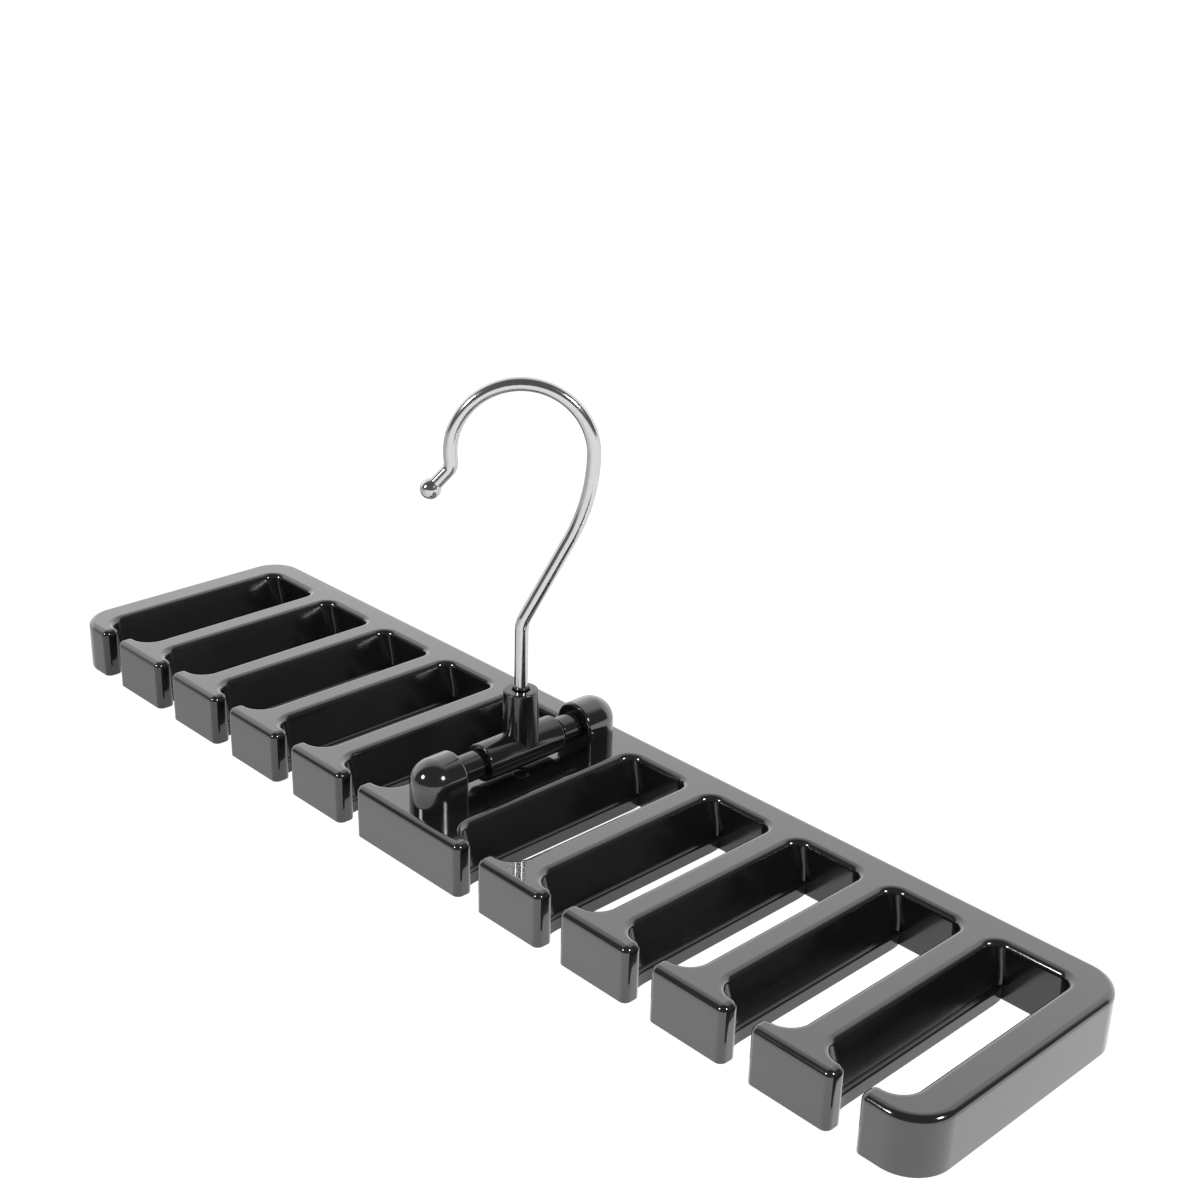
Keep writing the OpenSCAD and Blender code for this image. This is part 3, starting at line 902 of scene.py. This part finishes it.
line += bend((KNEE_R, knee_v), KNEE_R, 180, -LEAN)
line += [(lean_u, foot_v - (foot_u - lean_u) / math.tan(lean))]
line += bend(sweep_middle, SWEEP_R, -LEAN, LEAN)
line += bend(loop_middle, LOOP_R, 0, 180 + LOOP_PAST)[1:]
line += bend(tip_middle, TIP_R, LOOP_PAST, -TIP_TURN, TIP_STEP)[1:]
line += [on_circle(tip_from, TIP_LEN - BALL_R + BALL_SEAT, tip_angle - math.pi / 2)]
length = sum(math.dist(a, b) for a, b in zip(line, line[1:]))
print("wire:", len(line), "points,", round(length, 1), "mm long")


# %% Sweep tree
def wire_tree():
    g = Nodes("swept_wire")
    g.ask("Wire radius", "NodeSocketFloat")
    g.ask("Sides", "NodeSocketInt")
    g.ask("Plating", "NodeSocketMaterial")

    def store(geometry, name, kind, value):
        return g.make("GeometryNodeStoreNamedAttribute", {"data_type": kind, "domain": "POINT"},
                      {"Geometry": geometry, "Name": name, "Value": value})["Geometry"]

    def stored(name, kind):
        return g.make("GeometryNodeInputNamedAttribute", {"data_type": kind}, {"Name": name})["Attribute"]

    path = g.make("GeometryNodeMeshToCurve", {}, {"Mesh": g.given("Geometry")})["Curve"]
    path = store(path, "wire_along", "FLOAT", g.make("GeometryNodeSplineParameter")["Length"])
    ring = g.make("GeometryNodeCurvePrimitiveCircle", {"mode": "RADIUS"},
                  {"Resolution": g.given("Sides"), "Radius": g.given("Wire radius")})["Curve"]
    ring = store(ring, "wire_across", "FLOAT_VECTOR", g.make("GeometryNodeInputPosition")["Position"])
    tube = g.make("GeometryNodeCurveToMesh", {},
                  {"Curve": path, "Profile Curve": ring, "Fill Caps": True})["Mesh"]
    across = g.make("ShaderNodeSeparateXYZ", {}, {"Vector": stored("wire_across", "FLOAT_VECTOR")})
    place = g.make("ShaderNodeCombineXYZ", {},
                   {"X": across["X"], "Y": across["Y"], "Z": stored("wire_along", "FLOAT")})["Vector"]
    tube = store(tube, "wire_place", "FLOAT_VECTOR", place)
    g.end(tube, g.given("Plating"))
    return g


wire_line = bpy.data.meshes.new("hook_wire")
wire_line.from_pydata([tuple(in_plane(u, v)) for u, v in line],
                      [(i, i + 1) for i in range(len(line) - 1)], [])
wire = bpy.data.objects.new("hook_wire", wire_line)
bpy.context.scene.collection.objects.link(wire)
wire = wire_tree().run(wire, {"Wire radius": WIRE_R * MM, "Sides": WIRE_SIDES,
                              "Plating": WIRE_FINISH})
shade(wire, CRISP_ON_WIRE)
report(wire)

# %% [markdown]
# ## The ends of the wire
# A small round head, flattened onto the wire's lower end, keeps the hook in its boss. It
# hides in a seat under the barrel, but it shows when the hanger is turned over. The ball
# on the tip keeps the wire from snagging cloth. It has a short collar where the wire
# goes in.

# %% Head and ball
HEAD_ROUND = 0.4
# The ball is a globe up to this latitude, in steps, and then a collar round the wire
LATITUDE_STEP, LAST_LATITUDE = 6, 36
COLLAR_OUT, COLLAR_FOOT_SHARE, COLLAR_TOP_SHARE = 0.12, 0.74, 0.82

head = revolve("hook_head", rounded([(0, head_top - HEAD_H, False), (HEAD_R, head_top - HEAD_H, True),
                                     (HEAD_R, head_top, True), (0, head_top, False)], HEAD_ROUND),
               "Z", centre)
head.data.materials.append(BALL_FINISH)
shade(head)
globe = [(0, -BALL_R)]
for latitude in range(LATITUDE_STEP - 90, LAST_LATITUDE + 1, LATITUDE_STEP):
    globe.append(on_circle((0, 0), BALL_R, math.radians(latitude)))
globe += [(WIRE_R + COLLAR_OUT, BALL_R * COLLAR_FOOT_SHARE), (WIRE_R, BALL_R * COLLAR_TOP_SHARE),
          (0, BALL_R * COLLAR_TOP_SHARE)]
ball = revolve("tip_ball", globe, "Z", (0, 0, 0), BALL_STEPS)
up_the_wire = in_plane(*tip_from) - in_plane(ball_u, ball_v)
ball_turn = up_the_wire.to_track_quat("Z", "Y").to_matrix().to_4x4()
ball.data.transform(Matrix.Translation(in_plane(ball_u, ball_v)) @ ball_turn)
ball.data.materials.append(BALL_FINISH)
shade(ball, CRISP_ON_WIRE)
report(head)
report(ball)

# %% [markdown]
# ## Riding on the frame
# Each piece rides on the CAD body that it belongs to and stands for that body's nodes,
# so the joints move it and the collision shapes stay as they are.

# %% Ride and replace
comb_nodes = [n for n in frame["nodes"] if "rail" in n or "head" in n or n == "spine"]
wire_nodes = ["hook_shank", "hook_knee", "hook_lean", "hook_sweep", "hook_loop", "hook_tip_bend",
              "hook_tip"]
for piece, body, slot, nodes in (
        (comb, "comb", "black_plastic", comb_nodes),
        (lugs, "comb", "black_plastic", ["front_lug", "rear_lug"]),
        (barrel, "swivel", "black_plastic", ["swivel_barrel"]),
        (wire, "hook", "hook_steel", wire_nodes),
        (head, "hook", "hook_steel", []),
        (ball, "hook", "hook_steel", ["hook_ball"])):
    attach(piece, body)
    if nodes:
        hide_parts(*nodes)
print("comb stands for", len(comb_nodes), "nodes")

# %% [markdown]
# ## Floor and light
# A glossy black object is lit by what it mirrors. In the photograph the flat tops mirror
# a bright backdrop, the rounded edges mirror a dark room overhead, and two small lamps
# leave a pair of dots on every round corner. So the world is bright near the horizon
# behind the object and dim overhead, and two small square lamps stand where the dots
# say. The floor and the backdrop are plain white to the camera. Mirrored in the plastic
# the floor is darker to the left, as in the photograph, and all other light is soft and
# even.

# %% World
# How far backwards a direction points where the backdrop fades in, and how far up it dims
BACKDROP_SPAN, HEIGHT_SPAN = (0.06, 0.34), (0.55, 0.97)
BACKDROP_LEVELS, ROOM, SOFT_LIGHT = (1.3, 0.85), 0.13, 0.6


def studio_world():
    world = bpy.data.worlds.new("studio")
    bpy.context.scene.world = world
    finish = Finish(world)
    towards = finish.make("ShaderNodeTexCoord").out("Generated")
    behind = finish.make("ShaderNodeVectorMath", {"operation": "DOT_PRODUCT"},
                         {0: towards, 1: (-math.sin(AZIMUTH), math.cos(AZIMUTH), 0)}).out("Value")
    height = finish.make("ShaderNodeSeparateXYZ", {}, {"Vector": towards}).out("Z")
    level = finish.fade(height, HEIGHT_SPAN, BACKDROP_LEVELS)
    mirrored = finish.fade(behind, BACKDROP_SPAN) * (level - ROOM) + ROOM
    path = finish.make("ShaderNodeLightPath")
    glossy = path.out("Is Glossy Ray")
    seen = path.out("Is Camera Ray")
    strength = seen + (1 - seen) * (glossy * mirrored + (1 - glossy) * SOFT_LIGHT)
    shader = finish.make("ShaderNodeBackground", {},
                         {"Color": grey(1.0), "Strength": strength}).out("Background")
    finish.make("ShaderNodeOutputWorld", {}, {"Surface": shader})
    return world


print("world:", studio_world().name)

# %% Floor
# In metres: half the floor's width, and how far it lies under the comb
FLOOR_HALF, FLOOR_DROP = 4, 0.05 * MM
# The places along the floor, in metres, between which its mirrored glow grows
GLOW_SPAN, GLOW_LEVELS = (-0.22, 0.14), (0.45, 1.0)
MATT, FAINT = 0.88, 0.2


def pale_floor():
    """Glows for the camera and for mirrors, and is plain matt for all other light."""
    finish = Finish(bpy.data.materials.new("pale_floor"))
    path = finish.make("ShaderNodeLightPath")
    glossy = path.out("Is Glossy Ray")
    where = finish.make("ShaderNodeTexCoord").out("Object")
    along = finish.make("ShaderNodeSeparateXYZ", {}, {"Vector": where}).out("X")
    strength = (1 - glossy) + glossy * finish.fade(along, GLOW_SPAN, GLOW_LEVELS)
    matt = finish.make("ShaderNodeBsdfDiffuse", {}, {"Color": grey(MATT)}).out("BSDF")
    faint = finish.make("ShaderNodeBsdfDiffuse", {}, {"Color": grey(FAINT)}).out("BSDF")
    glow = finish.make("ShaderNodeEmission", {},
                       {"Color": grey(1.0), "Strength": strength}).out("Emission")
    white = finish.make("ShaderNodeAddShader", {}, {0: faint, 1: glow}).out("Shader")
    both = finish.make("ShaderNodeMixShader", {},
                       {"Fac": path.out("Is Camera Ray") + glossy, 1: matt, 2: white}).out("Shader")
    finish.make("ShaderNodeOutputMaterial", {}, {"Surface": both})
    return finish.owner


floor = mesh_object("floor", [(-FLOOR_HALF, -FLOOR_HALF, 0), (FLOOR_HALF, -FLOOR_HALF, 0),
                              (FLOOR_HALF, FLOOR_HALF, 0), (-FLOOR_HALF, FLOOR_HALF, 0)],
                    [(0, 1, 2, 3)])
floor.location.z = -FLOOR_DROP
floor.data.materials.append(pale_floor())
floor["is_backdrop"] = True
print("floor:", 2 * FLOOR_HALF, "m wide")

# %% Lamps
# In metres, and in watts to a square metre and steradian
LAMP_AWAY, LAMP_WIDTH, LAMP_RADIANCE = 1.3, 0.24, 30
LAMP_AIM = Vector((0, 0, 20)) * MM


def lamp(name, azimuth, elevation):
    """A square lamp that faces the object, placed by the same two angles as the camera, in degrees."""
    direction = facing(math.radians(azimuth), math.radians(elevation))
    light = bpy.data.lights.new(name, "AREA")
    light.shape = "SQUARE"
    light.size = LAMP_WIDTH
    light.energy = LAMP_RADIANCE * math.pi * LAMP_WIDTH * LAMP_WIDTH
    obj = bpy.data.objects.new(name, light)
    obj.location = LAMP_AIM + direction * LAMP_AWAY
    obj.rotation_euler = direction.to_track_quat("Z", "Y").to_euler()
    bpy.context.scene.collection.objects.link(obj)
    print(name, "at", [round(x, 2) for x in obj.location], "energy", round(light.energy, 2))


lamp("left_lamp", -16, 31)
lamp("right_lamp", 99, 33)
bpy.context.scene.view_settings.view_transform = "Standard"

# %% [markdown]
# The script closes by printing how far the dressed model's box differs from the CAD
# model's box.

# %% Finish
low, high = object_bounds()
worst = max(abs(a - b) for a, b in zip([*low, *high], [*cad_low, *cad_high]))
print("box differs by at most", round(worst / MM, 3), "mm")
